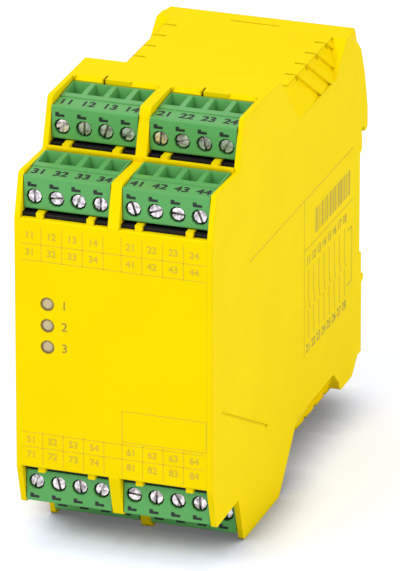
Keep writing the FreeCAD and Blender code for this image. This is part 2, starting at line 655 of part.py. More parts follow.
def latch_spring():
    """Compression spring between the housing's seat and the top of the latch window."""
    radius, wire = (SPRING_D - SPRING_WIRE) / 2, SPRING_WIRE / 2
    middle = vec(0, LATCH_FRONT + SPRING_D / 2 + SPRING_CLEAR, SPRING_SEAT + wire)
    stations, sections = SPRING_TURNS * SPRING_STEPS, []
    for i in range(stations + 1):
        turn = 2 * math.pi * i / SPRING_STEPS
        out = vec(math.cos(turn), math.sin(turn), 0)
        centre = middle + out * radius + vec(0, 0, (SPRING_LENGTH - SPRING_WIRE) * i / stations)
        ring = [centre + (out * math.cos(t) + vec(0, 0, math.sin(t))) * wire
                for t in (math.pi * k / 3 for k in range(6))]
        sections.append(Part.makePolygon(ring + ring[:1]))
    return Part.makeLoft(sections, True, True)


# ---- terminals: plug frame has Y = 0 at its face and Z = 0 at its floor ----
def plug_housing():
    """Moulded plug: sloped entry face, label strip, tongue and four clamp chambers."""
    front, rear = PLUG_HEIGHT
    slope = (rear - front) / PLUG_BLOCK
    block = slab([(0, 0, PLUG_EDGE), (0, front, PLUG_EDGE), (PLUG_BLOCK, rear, PLUG_EDGE),
                  (PLUG_BLOCK, 0)], (-PLUG_W / 2, PLUG_W / 2), PLUG_CHORDS)
    tongue = box((TONGUE_INSET - PLUG_W / 2, PLUG_W / 2 - TONGUE_INSET),
                 (PLUG_BLOCK - 1, PLUG_D), TONGUE_Z)
    y0, y1, deep = STRIP
    strip = slab([(y0, front + slope * y0 - deep), (y0, rear + 1), (y1, rear + 1),
                  (y1, front + slope * y1 - deep)], (-PLUG_W, PLUG_W))
    cuts = [strip]
    cage_top = CAGE_FLOOR + CAGE[2] + CAGE_CLEAR
    mouth_y = (ENTRY_FRONT, ENTRY_FRONT + ENTRY_TOP[1])
    middle = sum(mouth_y) / 2
    foot_y = (middle - ENTRY_FOOT[1] / 2, middle + ENTRY_FOOT[1] / 2)
    for x in POLE_X:
        cuts.append(frustum(rectangle(x, foot_y, ENTRY_FOOT[0], cage_top - CAGE_CLEAR),
                            rectangle(x, mouth_y, ENTRY_TOP[0], rear + CAGE_CLEAR)))
        cuts.append(box((x - CAGE[0] / 2 - CAGE_CLEAR, x + CAGE[0] / 2 + CAGE_CLEAR),
                        (cage_front() - CAGE_CLEAR, PLUG_D + 1),
                        (CAGE_FLOOR - CAGE_CLEAR, cage_top)))
        cuts.append(rod(SCREW_HOLE, vec(x, -1, SCREW_Z), vec(x, cage_front(), SCREW_Z)))
    return fuse([block, tongue]).cut(cuts)


def cage_front():
    """Depth of the clamp cage, centred under the wire entry."""
    return ENTRY_FRONT + (ENTRY_TOP[1] - CAGE[1]) / 2


def plug_screws(turns):
    """Slotted clamp screws, each turned to its own angle."""
    screws = []
    face = HEAD_RECESS
    tip = cage_front() + CAGE[1] - CAGE_WALL - SCREW_SHORT
    for x, turn in zip(POLE_X, turns):
        head = rod(HEAD[0], vec(x, face, SCREW_Z), vec(x, face + HEAD[1], SCREW_Z))
        shank = rod(SHANK, vec(x, face + HEAD[1], SCREW_Z), vec(x, tip, SCREW_Z), SHANK_CHORDS)
        slot = box((-HEAD[0], HEAD[0]), (face - 1, face + SLOT[1]), (-SLOT[0] / 2, SLOT[0] / 2))
        slot.rotate(vec(0, 0, 0), vec(0, -1, 0), turn)
        slot.translate(vec(x, 0, SCREW_Z))
        screws.append(head.fuse(shank).cut(slot))
    return Part.makeCompound(screws)


def plug_clamps():
    """Wire cages, each with the socket that takes a header pin."""
    clamps = []
    y, z = cage_front(), CAGE_FLOOR
    pin_z = CAGE_FLOOR + CAGE[2] / 2
    bore = PIN + 2 * PIN_CLEAR
    for x in POLE_X:
        cage = box((x - CAGE[0] / 2, x + CAGE[0] / 2), (y, y + CAGE[1]), (z, z + CAGE[2]))
        socket = box((x - CONTACT[0] / 2, x + CONTACT[0] / 2),
                     (y + CAGE[1], y + CAGE[1] + CONTACT[1]),
                     (pin_z - CONTACT[0] / 2, pin_z + CONTACT[0] / 2))
        window = box((x - SHANK / 2 - CAGE_CLEAR, x + SHANK / 2 + CAGE_CLEAR),
                     (y + CAGE_WALL, y + CAGE[1] - CAGE_WALL), (z - 1, z + CAGE[2] + 1))
        thread = rod(SHANK + 2 * CAGE_CLEAR, vec(x, y - 1, SCREW_Z),
                     vec(x, y + CAGE_WALL + 1, SCREW_Z), SHANK_CHORDS)
        hollow = box((x - bore / 2, x + bore / 2), (y + CAGE[1] - CAGE_WALL - 1, PLUG_D + 1),
                     (pin_z - bore / 2, pin_z + bore / 2))
        clamps.append(cage.fuse(socket).cut([window, thread, hollow]))
    return Part.makeCompound(clamps)


def header():
    """Socket on the board: floor under the plug, top plate and back wall with the pins."""
    half = HEADER_W / 2
    top = TONGUE_Z[1] + HEADER_GAP
    floor_top = TRAY - HEADER_LIFT
    tray = box((-half, half), (-TRAY_REACH, HEADER_D), (-HEADER_LIFT, floor_top))
    sill = box((-half, half), (PLUG_BLOCK + HEADER_GAP, HEADER_D),
               (-HEADER_LIFT, TONGUE_Z[0] - HEADER_GAP))
    roof = box((-half, half), (PLUG_BLOCK + 2 * HEADER_GAP, HEADER_D), (top, top + HEADER_WALL))
    back = box((-half, half), (HEADER_D - HEADER_BACK, HEADER_D), (-HEADER_LIFT, top + HEADER_WALL))
    notch = SUPPORT_W / 2 + HEADER_GAP
    cuts = [box((x - notch, x + notch), (-TRAY_REACH - 1, SUPPORT_REACH + HEADER_GAP),
                (-HEADER_LIFT - 1, 0)) for x in (-SUPPORT_X, SUPPORT_X)]
    cuts += [box((x - PIN / 2, x + PIN / 2), (0, HEADER_D + 1), (PIN_Z - PIN / 2, PIN_Z + PIN / 2))
             for x in POLE_X]
    return fuse([tray, sill, roof, back]).cut(cuts)


def header_pins(tier, outward):
    """Square pins bent down behind the header and out to the circuit board."""
    pins = []
    bend = HEADER_D + PIN_BEND
    reach = outward * (BOARD_X - BAY_X)
    for i, x in enumerate(POLE_X):
        rank = POLES - 1 - i if outward > 0 else i
        foot = PIN_ROWS[tier] - rank * PIN_STEP - TIER_FLOOR[tier]
        h = PIN / 2
        parts = [box((x - h, x + h), (PIN_TIP, bend + h), (PIN_Z - h, PIN_Z + h)),
                 box(sorted((x - outward * h, reach)), (bend - h, bend + h), (foot - h, foot + h))]
        if foot < PIN_Z - 0.01:
            parts.append(box((x - h, x + h), (bend - h, bend + h), (foot - h, PIN_Z + h)))
        pins.append(fuse(parts))
    return Part.makeCompound(pins)


# ---- electronics ----
def board_outline():
    """Narrow in front between the first-tier bays, taller behind them."""
    step = TIER_FRONT[0] + HEADER_D + BOARD_EDGE
    front_half = TIER_FLOOR[0] - HEADER_LIFT - SHELF - BOARD_EDGE
    top = [(BOARD_FRONT, front_half), (step, front_half), (step, BOARD_HALF), (BOARD_BACK, BOARD_HALF)]
    return top + [(y, -z) for y, z in reversed(top)]


def board(side):
    """Circuit board beside a side wall, pierced for the header pins."""
    x = sorted((side * BOARD_X, side * (BOARD_X - BOARD_T)))
    plate = slab(board_outline(), x)
    holes = []
    for tier in (0, 1):
        y = TIER_FRONT[tier] + HEADER_D + PIN_BEND
        for rank in range(POLES):
            z = PIN_ROWS[tier] - rank * PIN_STEP
            h = PIN / 2
            holes.append(box((x[0] - 1, x[1] + 1), (y - h, y + h), (z - h, z + h)))
    return plate.cut(both_halves(holes))


def on_board(side, height, y, z):
    """A box standing on the inner face of a circuit board."""
    foot = side * (BOARD_X - BOARD_T)
    return box(sorted((foot, foot - side * height)), y, z)


def relay(side, front):
    """Relay with positively driven contacts, in a closed case with rounded corners."""
    case = on_board(side, RELAY[0], (front, front + RELAY[1]), (-RELAY[2] / 2, RELAY[2] / 2))
    lid = side * (BOARD_X - BOARD_T - RELAY[0])
    edges = [e for e in case.Edges if abs(e.BoundBox.XMax - lid) + abs(e.BoundBox.XMin - lid) < 1e-6]
    return case.makeChamfer(RELAY_EDGE, edges)


def capacitor(z):
    """Round electrolytic capacitor standing on the right board."""
    foot = BOARD_X - BOARD_T
    y = BOARD_FRONT + CAPACITOR[0] / 2
    return rod(CAPACITOR[0], vec(foot, y, z), vec(foot - CAPACITOR[1], y, z), CAPACITOR_CHORDS)


def status_leds():
    height = BOARD_X - BOARD_T - abs(WINDOW_X) + LED[0]
    return Part.makeCompound([
        on_board(-1, height, (BOARD_FRONT, BOARD_FRONT + LED[1]), (z - LED[2] / 2, z + LED[2] / 2))
        for z in WINDOW_Z])


def logic_chips():
    """Two monitoring chips and an optocoupler on the left board, well apart."""
    return Part.makeCompound([
        on_board(-1, height, (RELAYS_BACK + start, RELAYS_BACK + start + length), (foot, top))
        for height, start, length, foot, top in CHIPS])


def suppressors():
    """Row of contact suppressors on the right board."""
    height, deep, wide = SUPPRESSOR
    y = RELAYS_BACK + SUPPRESSOR_SET
    return Part.makeCompound(both_halves([
        on_board(1, height, (y, y + deep), (z - wide / 2, z + wide / 2)) for z in SUPPRESSOR_Z]))


def board_link():
    """Plug-in bridge between the two boards, a strip with a socket at each end."""
    height, deep, long = LINK
    front, foot = RELAYS_BACK + LINK_SET, BOARD_X - BOARD_T
    middle = front + deep / 2
    thick, strip_long = LINK_STRIP
    strip = box((-foot, foot), (middle - thick / 2, middle + thick / 2),
                (-strip_long / 2, strip_long / 2))
    ends = [on_board(side, height, (front, front + deep), (-long / 2, long / 2)) for side in (-1, 1)]
    return fuse([strip] + ends)


# ---- assembly ----
def seat_plug(shape, upper, left, tier):
    """Place a shape of the plug frame in its bay; lower bays are turned half round."""
    placed = shape.copy()
    if not upper:
        placed.rotate(vec(0, 0, 0), vec(0, 1, 0), 180)
    height = TIER_FLOOR[tier] if upper else -TIER_FLOOR[tier]
    placed.translate(vec(-BAY_X if left else BAY_X, TIER_FRONT[tier], height))
    return placed


def terminals():
    """All plugs and headers by name, one set for each of the eight bays."""
    made = {}
    housing, clamps, socket = plug_housing(), plug_clamps(), header()
    for bay, turns in SCREW_TURNS.items():
        row, depth, hand = bay.split("_")
        upper, left, tier = row == "upper", hand == "left", 1 if depth == "rear" else 0
        outward = -1 if left == upper else 1
        sets = {"plug": housing, "clamps": clamps, "header": socket,
                "screws": plug_screws(turns), "pins": header_pins(tier, outward)}
        for piece, shape in sets.items():
            made[bay + "_" + piece] = seat_plug(shape, upper, left, tier)
    return made


def pieces():
    made = {"housing_shell": housing_shell(), "side_cover": side_cover(),
            "foot_latch": foot_latch(), "latch_spring": latch_spring(),
            "left_board": board(-1), "right_board": board(1),
            "status_leds": status_leds(), "logic_chips": logic_chips(),
            "suppressors": suppressors(), "board_link": board_link()}
    for name, z in zip(("power", "channel_1", "channel_2"), WINDOW_Z):
        made[name + "_window"] = window_guide(z)
    for name, z in (("upper_capacitor", CAPACITOR_Z), ("lower_capacitor", -CAPACITOR_Z)):
        made[name] = capacitor(z)
    for hand, side in (("left", -1), ("right", 1)):
        for place, front in zip(("front", "rear"), RELAY_FRONT):
            made[hand + "_" + place + "_relay"] = relay(side, front)
    made.update(terminals())
    return made


def main():
    os.makedirs("parts", exist_ok=True)
    for name, shape in pieces().items():
        shape.translate(ORIGIN)
        shape.exportStep("parts/" + name + ".step")


main()
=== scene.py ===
import math
import bpy
from mathutils import Matrix, Vector


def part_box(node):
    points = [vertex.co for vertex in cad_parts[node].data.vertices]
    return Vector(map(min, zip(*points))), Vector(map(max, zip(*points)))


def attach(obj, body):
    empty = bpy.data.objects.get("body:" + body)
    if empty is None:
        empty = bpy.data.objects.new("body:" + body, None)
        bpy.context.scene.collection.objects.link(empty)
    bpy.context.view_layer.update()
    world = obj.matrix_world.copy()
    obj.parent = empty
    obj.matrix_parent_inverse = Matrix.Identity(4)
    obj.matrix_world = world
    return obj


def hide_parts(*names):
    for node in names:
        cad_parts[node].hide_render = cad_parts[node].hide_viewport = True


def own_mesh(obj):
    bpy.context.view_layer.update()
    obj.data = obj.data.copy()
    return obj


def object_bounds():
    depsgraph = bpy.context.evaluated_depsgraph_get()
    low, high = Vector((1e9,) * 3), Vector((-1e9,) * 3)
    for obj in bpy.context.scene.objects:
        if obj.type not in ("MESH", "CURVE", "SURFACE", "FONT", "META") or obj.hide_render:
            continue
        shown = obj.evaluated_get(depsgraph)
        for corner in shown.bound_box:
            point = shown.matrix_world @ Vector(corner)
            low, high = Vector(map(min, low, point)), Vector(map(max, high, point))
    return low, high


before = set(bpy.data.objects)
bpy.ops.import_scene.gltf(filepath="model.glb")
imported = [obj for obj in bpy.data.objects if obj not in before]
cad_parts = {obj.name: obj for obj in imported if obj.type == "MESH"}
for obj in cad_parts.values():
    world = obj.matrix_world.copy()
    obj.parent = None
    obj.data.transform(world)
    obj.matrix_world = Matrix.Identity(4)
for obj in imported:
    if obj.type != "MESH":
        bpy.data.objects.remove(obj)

MM = 0.001
cad_low, cad_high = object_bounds()

# ---- places on the housing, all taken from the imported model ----
shell_low, shell_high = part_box("housing_shell")
FRONT = shell_low.y                             # face of the front panel
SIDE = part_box("side_cover")[1].x                # outer face of the side cover
MIDDLE = (shell_low.z + shell_high.z) / 2       # mid-height
BAYS = [row + "_" + depth + "_" + hand for row in ("upper", "lower")
        for depth in ("front", "rear") for hand in ("left", "right")]
WINDOWS = ("power_window", "channel_1_window", "channel_2_window")
POLES = 4
PITCH = 5.0 * MM                # from one terminal to the next
INK_LIFT = 0.02 * MM            # thickness of printed ink
RULE_WIDTH = 0.13 * MM          # of a printed rule on the front panel
RIM_DEPTH = 0.12 * MM           # how far a window rim's centre line lies behind the panel
COIL_WIRE = 0.25 * MM           # radius of the latch spring's wire
UPRIGHT = Matrix.Rotation(math.pi / 2, 4, "X")  # stands a flat print up to face the front

# Print on a plug, in millimetres in the plug's own frame.
FACE_HEIGHT, REAR_HEIGHT, BLOCK_DEPTH = 7.6, 8.45, 13.9     # they give the strip's tilt
STRIP_MIDDLE = (3.0, 0.86)      # of the label strip: behind the face, below the plug's top
NUMERAL, NUMERAL_PEN = 3.4, 0.16
MARKS = {"upper": (-0.45, 5.7), "lower": (0.45, 6.2)}       # painted shade for the recesses beside the screws: aside, height

# Print on the front panel, in millimetres from its middle.
COLUMNS = (-19.0, -14.1, -9.35, -4.55, 3.95, 8.8, 13.65, 18.4)
TABLE_SIDES = (-21.0, 20.9)
RULE_MIDDLES = (-9.35, 8.9)     # of the two groups of upright rules in each table
TABLES = (                      # level rules, middle of the upright rules, (row of plugs, height)
    ((23.4, 19.6), 23.5, (("upper_rear", 25.4), ("upper_front", 21.5))),
    ((-24.2, -20.8), -24.3, (("lower_front", -22.5), ("lower_rear", -26.0))),
)
TABLE_NUMERAL = 2.2
WINDOW_COLUMN, WINDOW_NUMERAL = -11.2, 2.8
LABEL_BOX = (1.9, -20.1, 21.1, -12.9)   # left, foot, right, top

# Print on the side cover, in millimetres behind the panel and above mid-height.
SIDE_RULES = ((24.8, 15.0, 98.0, 14.7), (63.0, 2.6, 98.0, 2.3), (63.0, 14.7, 63.4, -23.0))
BRACKET = ((94.5, -4.2, 97.6, -4.2), (97.6, -4.2, 97.6, -17.4), (97.6, -17.4, 94.5, -17.4))
CONTACT = ((0.0, -2.8, 0.0, -8.6), (0.0, -8.6, 0.9, -12.2), (0.0, -12.4, 0.4, -19.4))
CONTACTS, CONTACT_START, CONTACT_STEP = 8, 66.2, 3.7        # places of the contacts in a row
SIDE_ROWS = ((-0.5, 11), (-21.5, 21))                       # height, first number
SIDE_NUMERAL, SIDE_PEN = 2.8, 0.08
SIDE_RULE, STROKE = 0.16, 0.26                              # line widths
BARS_MIDDLE = (83.5, 7.2)

# Camera: degrees round to the right and up, then the lens centre in millimetres right of,
# above and in front of the panel's middle, along the turned axes.
AZIMUTH, ELEVATION = 18.92, 22.32
STAND_OFF = (18.63, 14.99, 1630.1)
FOCAL_LENGTH, SENSOR = 477.37513, 36.0

# Stage, in metres and watts.
FLOOR_HALF, FLOOR_GLOW = 1.5, 0.4
PAPER = ((0.71, 0.755, 0.91, 1), (0.73, 0.775, 0.93, 1))
SKY = 0.77
AIM = (0, 0, 0.05)
LAMPS = (                       # name, sides, power, position, tint
    ("key", (0.5, 0.5), 3.6, (-0.42, -0.50, 0.80), (1.0, 1.0, 1.0)),
    ("fill", (0.6, 0.6), 2.2, (0.8, -0.30, 0.25), (1.0, 0.92, 0.84)),
)

# Terminal numbers, by bay: plain counting numbers.
NUMBERS = {
    "upper_rear_left": ("11", "12", "13", "14"), "upper_rear_right": ("21", "22", "23", "24"),
    "upper_front_left": ("31", "32", "33", "34"), "upper_front_right": ("41", "42", "43", "44"),
    "lower_front_left": ("51", "52", "53", "54"), "lower_front_right": ("61", "62", "63", "64"),
    "lower_rear_left": ("71", "72", "73", "74"), "lower_rear_right": ("81", "82", "83", "84"),
}


# ---- node graphs ----
class Graph:
    """Adds nodes to a shader or geometry tree; a socket given as a value is linked."""

    def __init__(self, tree):
        self.tree = tree

    def feed(self, node, sockets):
        """Link or set a node's inputs, by name or number."""
        for key, value in sockets.items():
            if isinstance(value, bpy.types.NodeSocket):
                self.tree.links.new(value, node.inputs[key])
            else:
                node.inputs[key].default_value = value

    def add(self, kind, sockets=None, **settings):
        node = self.tree.nodes.new(kind)
        for name, value in settings.items():
            setattr(node, name, value)
        self.feed(node, sockets or {})
        return node

    def maths(self, operation, *values, clamp=False):
        sockets = dict(enumerate(values))
        return self.add("ShaderNodeMath", sockets, operation=operation, use_clamp=clamp).outputs[0]

    def noise(self, place, scale, detail=2.0, roughness=0.5):
        return self.add("ShaderNodeTexNoise", {"Vector": place, "Scale": scale, "Detail": detail,
                                               "Roughness": roughness}).outputs["Fac"]

    def blend(self, factor, first, second):
        return self.add("ShaderNodeMix", {0: factor, 6: first, 7: second},
                        data_type="RGBA").outputs[2]

    def vary(self, noise, low, high):
        """Let a value wander between two limits with a noise, which keeps near its middle."""
        return self.spread(noise, 0.3, 0.7, low, high)

    def scale(self, vector, factor):
        return self.add("ShaderNodeVectorMath", {0: vector, "Scale": factor},
                        operation="SCALE").outputs[0]

    def bump(self, height, strength, distance, **normal):
        """Relief from a height; the distance is in millimetres."""
        return self.add("ShaderNodeBump", {"Height": height, "Strength": strength,
                                           "Distance": distance * MM, **normal}).outputs[0]

    def spread(self, value, low, high, to_low=0.0, to_high=1.0):
        """Map low-high to to_low-to_high, clamped."""
        return self.add("ShaderNodeMapRange", {0: value, 1: low, 2: high, 3: to_low,
                                               4: to_high}).outputs[0]


def shade(colour, factor):
    """A colour made darker or lighter, with full alpha."""
    return tuple(c * factor for c in colour[:3]) + (1.0,)


def new_finish(name):
    """An empty material: its graph, its shader and its place in millimetres."""
    material = bpy.data.materials.new(name)
    material.use_nodes = True
    graph = Graph(material.node_tree)
    shader = material.node_tree.nodes["Principled BSDF"]
    place = graph.add("ShaderNodeMapping", {
        "Vector": graph.add("ShaderNodeTexCoord").outputs["Object"],
        "Scale": (1 / MM, 1 / MM, 1 / MM)}).outputs[0]
    return material, graph, shader, place


FLAT, BENT = 0.995, 0.90        # cosine of rounded to true normal: on flats, on full edges
WEAR_HIGHLIGHT_GAIN, WEAR_HIGHLIGHT_LIFT = 1.08, 0.03       # how a colour pales on an edge: partly rubbed wear, partly a painted highlight


def edge_mask(graph, radius):
    """One on the edges, nought on the flats, with the rounded normal beside it."""
    rounded = graph.add("ShaderNodeBevel", {"Radius": radius}, samples=4).outputs[0]
    flat = graph.add("ShaderNodeNewGeometry").outputs["True Normal"]
    along = graph.add("ShaderNodeVectorMath", {0: rounded, 1: flat},
                      operation="DOT_PRODUCT").outputs["Value"]
    return graph.spread(along, FLAT, BENT), rounded


def painted_shade_factor(graph, reach, depth, closed=0.05, clear=0.6):
    """Painted shade: a factor that falls from one in the open to 1 - depth in holes and inner
    corners.
    """
    occlusion_shade = graph.add("ShaderNodeAmbientOcclusion", {"Distance": reach * MM},
                         samples=8).outputs["AO"]
    return graph.spread(occlusion_shade, closed, clear, 1 - depth, 1.0)


# reach and depth size the painted shade in corners and recesses
def moulding(name, colour, roughness, grain=0.06, round_edge=0.25, variation=0.05, wear_and_highlight=0.25,
             patch=0.06, gloss=0.2, sheen=(1, 1, 1), reach=2.0, depth=0.35):
    """Moulded plastic: faint flow patches, fine spark-eroded grain, painted shade in corners,
    edges paled by wear and painted highlight.
    """
    material, graph, shader, place = new_finish(name)
    edge, rounded = edge_mask(graph, round_edge * MM)
    flow = graph.noise(place, patch, 3.0)
    base = graph.blend(flow, shade(colour, 1 - variation), shade(colour, 1 + variation))
    # paler edges: partly rubbed wear, partly a painted highlight
    lit = graph.maths("MULTIPLY", edge, wear_and_highlight)
    pale = tuple(min(1.0, c * WEAR_HIGHLIGHT_GAIN + WEAR_HIGHLIGHT_LIFT) for c in colour) + (1.0,)
    # painted shade darkens corners and recesses
    with_painted_shade = graph.scale(graph.blend(lit, base, pale), painted_shade_factor(graph, reach, depth))
    uneven = graph.noise(place, 0.35, 3.0)
    fine = graph.noise(place, 9.0, 2.0)
    graph.feed(shader, {"Base Color": with_painted_shade,
                        "Roughness": graph.vary(uneven, roughness - 0.05, roughness + 0.05),
                        "Normal": graph.bump(fine, grain, 0.05, Normal=rounded),
                        "Specular IOR Level": gloss, "Specular Tint": sheen + (1,)})
    return material


def plated(name, colour, roughness, scratch=0.12):
    """Plated steel or tin: a fine drawn grain, dull spots, a painted highlight on edges and
    painted shade in corners and slots.
    """
    material, graph, shader, place = new_finish(name)
    edge, rounded = edge_mask(graph, 0.12 * MM)
    dull = graph.noise(place, 0.9, 4.0, 0.6)
    base = graph.blend(graph.spread(dull, 0.42, 0.62), shade(colour, 1.15), shade(colour, 0.38))
    # painted highlight: edges lighter than the flats
    painted_edge_highlight = graph.blend(graph.maths("MULTIPLY", edge, 0.4), base, shade(colour, 1.2))
    rough = graph.spread(dull, 0.3, 0.75, roughness - 0.07, roughness + 0.1)
    drawn = graph.add("ShaderNodeMapping", {"Vector": place, "Scale": (14.0, 2.0, 3.0)})
    grain = graph.noise(drawn.outputs[0], 1.0, 4.0)
    # painted shade in corners and slots
    graph.feed(shader, {"Base Color": graph.scale(painted_edge_highlight, painted_shade_factor(graph, 1.0, 0.9)),
                        "Roughness": rough, "Metallic": 1.0,
                        "Normal": graph.bump(grain, scratch, 0.03, Normal=rounded)})
    return material


def board_lacquer(name):
    """Green solder lacquer over copper tracks that show as paler, raised lines."""
    material, graph, shader, place = new_finish(name)
    brick = graph.add("ShaderNodeTexBrick", {
        "Vector": graph.add("ShaderNodeMapping", {"Vector": place,
                                                  "Rotation": (0, math.pi / 2, 0)}).outputs[0],
        "Scale": 0.35, "Mortar Size": 0.06, "Mortar Smooth": 0.2, "Brick Width": 1.4,
        "Row Height": 0.45, "Color1": (0, 0, 0, 1), "Color2": (0, 0, 0, 1),
        "Mortar": (1, 1, 1, 1)}).outputs["Fac"]
    base = graph.blend(brick, (0.012, 0.10, 0.035, 1), (0.03, 0.19, 0.06, 1))
    graph.feed(shader, {"Base Color": base,
                        "Roughness": graph.vary(graph.noise(place, 0.8), 0.25, 0.38),
                        "Normal": graph.bump(brick, 0.3, 0.05)})
    return material


def lens_plastic(name, colour):
    """Milky light guide: slightly see-through, with cloudy depth."""
    material, graph, shader, place = new_finish(name)
    cloud = graph.noise(place, 0.5, 2.0)
    base = graph.blend(cloud, shade(colour, 0.85), shade(colour, 1.1))
    graph.feed(shader, {"Base Color": base, "Roughness": graph.vary(cloud, 0.12, 0.22),
                        "Transmission Weight": 0.25,
                        "Normal": graph.bump(graph.noise(place, 2.0), 0.1, 0.05)})
    return material


def printed_ink(name, colour):
    """Pad-printed ink: a little uneven in strength, with a dry surface."""
    material, graph, shader, place = new_finish(name)
    strength = graph.noise(place, 1.5, 3.0, 0.6)
    base = graph.blend(strength, shade(colour, 0.85), shade(colour, 1.15))
    graph.feed(shader, {"Base Color": base, "Roughness": graph.vary(strength, 0.55, 0.7),
                        "Normal": graph.bump(strength, 0.1, 0.02)})
    return material


YELLOW = (0.97, 0.73, 0.0015)
GREEN = (0.105, 0.40, 0.10)
YELLOW_SHEEN = (1.0, 0.9, 0.25)
FINISH = {
    # depth sets how dark the painted shade gets in recesses
    "yellow": moulding("housing_yellow", YELLOW, 0.5, gloss=0.012, sheen=YELLOW_SHEEN,
                       depth=0.65),
    "latch": moulding("latch_yellow", shade(YELLOW, 0.97)[:3], 0.5, wear_and_highlight=0.35, gloss=0.012,
                      sheen=YELLOW_SHEEN),
    # deep painted shade in the screw holes and wire funnels
    "green": moulding("plug_green", GREEN, 0.38, round_edge=0.18, variation=0.08, wear_and_highlight=0.35,
                      gloss=0.3, reach=2.2, depth=0.9),
    # near-black header: partly its own colour, partly painted shade for the gap under each plug
    "black": moulding("header_black", (0.012, 0.012, 0.012), 0.5, wear_and_highlight=0.15),
    "chip": moulding("chip_black", (0.02, 0.02, 0.022), 0.55, grain=0.15, wear_and_highlight=0.1),
    "case": moulding("relay_case", (0.78, 0.78, 0.72), 0.4, wear_and_highlight=0.1),
    "bridge": moulding("bridge_cream", (0.72, 0.68, 0.52), 0.45),
    "blue": moulding("suppressor_blue", (0.05, 0.12, 0.38), 0.3, grain=0.02),
    "sleeve": moulding("capacitor_sleeve", (0.03, 0.04, 0.07), 0.3, grain=0.02),
    "screw": plated("screw_steel", (0.84, 0.76, 0.73), 0.30),
    "clamp": plated("clamp_steel", (0.55, 0.54, 0.52), 0.34),
    "tin": plated("pin_tin", (0.68, 0.66, 0.60), 0.28),
    "wire": plated("spring_wire", (0.50, 0.50, 0.51), 0.3),
    "lacquer": board_lacquer("board_lacquer"),
    "lens": lens_plastic("window_lens", (0.76, 0.62, 0.33)),
    "light": lens_plastic("status_light", (0.75, 0.78, 0.70)),
    "ochre": printed_ink("panel_ink", (0.74, 0.51, 0.008)),
    "grey": printed_ink("cover_ink", (0.47, 0.31, 0.012)),
    # plug print, also used for the flat dark marks that stand for shaded recesses: painted shade
    "dark": printed_ink("plug_ink_and_recess_shade", (0.004, 0.012, 0.007)),
    # dark rings at the window edges: painted shade round each lens
    "rim": moulding("window_rim_shade", (0.36, 0.24, 0.02), 0.5, wear_and_highlight=0.0),
}


def dress_cad():
    """Give every carried-over CAD node its finish."""
    by_name = {"housing_shell": "yellow", "side_cover": "yellow", "foot_latch": "latch",
               "latch_spring": "wire", "left_board": "lacquer", "right_board": "lacquer",
               "status_leds": "light", "logic_chips": "chip", "suppressors": "blue",
               "board_link": "bridge", "upper_capacitor": "sleeve", "lower_capacitor": "sleeve"}
    by_ending = {"_plug": "green", "_header": "black", "_screws": "screw", "_clamps": "clamp",
                 "_pins": "tin", "_window": "lens", "_relay": "case"}
    for name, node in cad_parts.items():
        ending = [look for end, look in by_ending.items() if name.endswith(end)]
        look = by_name.get(name) or ending[0]
        node.data.materials.clear()
        node.data.materials.append(FINISH[look])


# ---- pieces grown by geometry nodes ----
class Growth(Graph):
    """A geometry tree with named sizes; it ends in realised instances and one material."""

    def __init__(self, name, finish, **sizes):
        super().__init__(bpy.data.node_groups.new(name, "GeometryNodeTree"))
        self.tree.interface.new_socket("Geometry", in_out="OUTPUT",
                                       socket_type="NodeSocketGeometry")
        kinds = {float: "NodeSocketFloat", int: "NodeSocketInt", str: "NodeSocketString"}
        for key, value in sizes.items():
            socket = self.tree.interface.new_socket(key, in_out="INPUT",
                                                    socket_type=kinds[type(value)])
            socket.default_value = value
        self.given = self.add("NodeGroupInput").outputs
        self.finish = finish

    def close(self, geometry):
        real = self.add("GeometryNodeRealizeInstances", {0: geometry}).outputs[0]
        done = self.add("GeometryNodeSetMaterial", {"Geometry": real, "Material": self.finish})
        self.add("NodeGroupOutput", {0: done.outputs[0]})
        return self

    def grow(self, **sizes):
        """Evaluate the tree with these sizes and return a plain mesh."""
        carrier = bpy.data.objects.new("carrier", bpy.data.meshes.new("carrier"))
        bpy.context.collection.objects.link(carrier)
        modifier = carrier.modifiers.new("growth", "NODES")
        modifier.node_group = self.tree
        for item in self.tree.interface.items_tree:
            if item.in_out == "INPUT" and item.name in sizes:
                modifier[item.identifier] = sizes[item.name]
        held = carrier.evaluated_get(bpy.context.evaluated_depsgraph_get())
        mesh = bpy.data.meshes.new_from_object(held)
        carrier.modifiers.clear()
        bpy.data.objects.remove(carrier)
        return mesh


def bar(growth, width, height, centre=(0.0, 0.0, 0.0)):
    """A flat rectangle in the XY plane."""
    grid = growth.add("GeometryNodeMeshGrid", {"Size X": width, "Size Y": height,
                                               "Vertices X": 2, "Vertices Y": 2}).outputs["Mesh"]
    return growth.add("GeometryNodeTransform", {"Geometry": grid,
                                                "Translation": centre}).outputs[0]


def spot(growth, x=0.0, y=0.0):
    """A point of the XY plane from plain or linked coordinates."""
    return growth.add("ShaderNodeCombineXYZ", {0: x, 1: y}).outputs[0]


def join(growth, *parts):
    """Several geometries as one."""
    node = growth.add("GeometryNodeJoinGeometry")
    for part in parts:
        growth.tree.links.new(part, node.inputs[0])
    return node.outputs[0]


def circle(growth, points, radius):
    """A round curve in the XY plane."""
    return growth.add("GeometryNodeCurvePrimitiveCircle", {
        "Resolution": points, "Radius": radius}).outputs[0]


def sweep(growth, path, section, caps=False):
    """A section drawn along a path."""
    return growth.add("GeometryNodeCurveToMesh", {
        "Curve": path, "Profile Curve": section, "Fill Caps": caps}).outputs[0]


def in_row(growth, shape, count, step):
    """Copies of a shape along X, the row centred on the origin."""
    half = growth.maths("MULTIPLY", growth.maths("MULTIPLY", growth.maths(
        "SUBTRACT", count, 1.0), step), -0.5)
    line = growth.add("GeometryNodeMeshLine", {
        "Count": count, "Start Location": spot(growth, half), "Offset": spot(growth, step)})
    return growth.add("GeometryNodeInstanceOnPoints", {
        "Points": line.outputs[0], "Instance": shape}).outputs[0]


